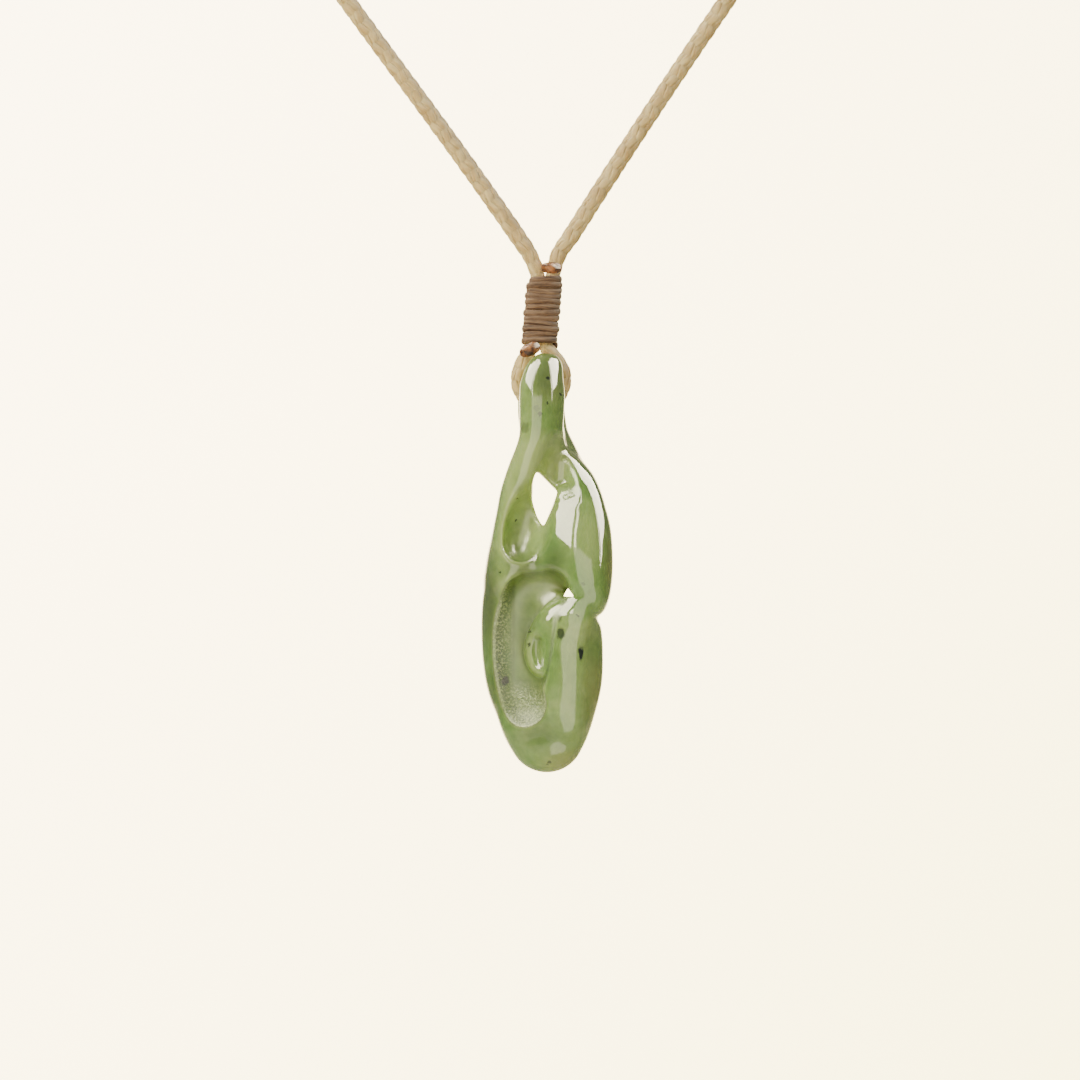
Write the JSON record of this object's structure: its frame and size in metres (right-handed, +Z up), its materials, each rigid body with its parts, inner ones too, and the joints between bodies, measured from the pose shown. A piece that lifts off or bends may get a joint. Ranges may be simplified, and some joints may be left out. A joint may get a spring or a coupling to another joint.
{
  "type": "carved greenstone pendant on a neck cord",
  "caption": "Carved greenstone twist and spiral pendant hanging from a long braided neck cord, bound with waxed thread.",
  "frame": {"origin": "centre of the cord at the nape, where it sits on the neck", "axes": "+X the right side seen from the front, -Y the front, +Z up"},
  "size_m": [0.1326, 0.1166, 0.1866],
  "materials": {
    "greenstone": "polished, with a matt carved channel",
    "braided_cord": "waxed braid",
    "waxed_thread": "waxed, wound close",
    "melted_thread": "melted, glossy"
  },
  "bodies": {
    "necklace": {"neck_cord": "braided_cord", "thread_binding": "waxed_thread", "lower_thread_end": "melted_thread", "upper_thread_end": "melted_thread", "nape_binding": "waxed_thread"},
    "pendant": {"carved_stone": "greenstone"}
  },
  "joints": [
    {"name": "pendant_swing", "type": "hinge", "parent": "necklace", "child": "pendant", "pos_m": [0, -0.11, -0.15], "axis": [1, 0, 0], "range_deg": [-10, 10]}
  ]
}
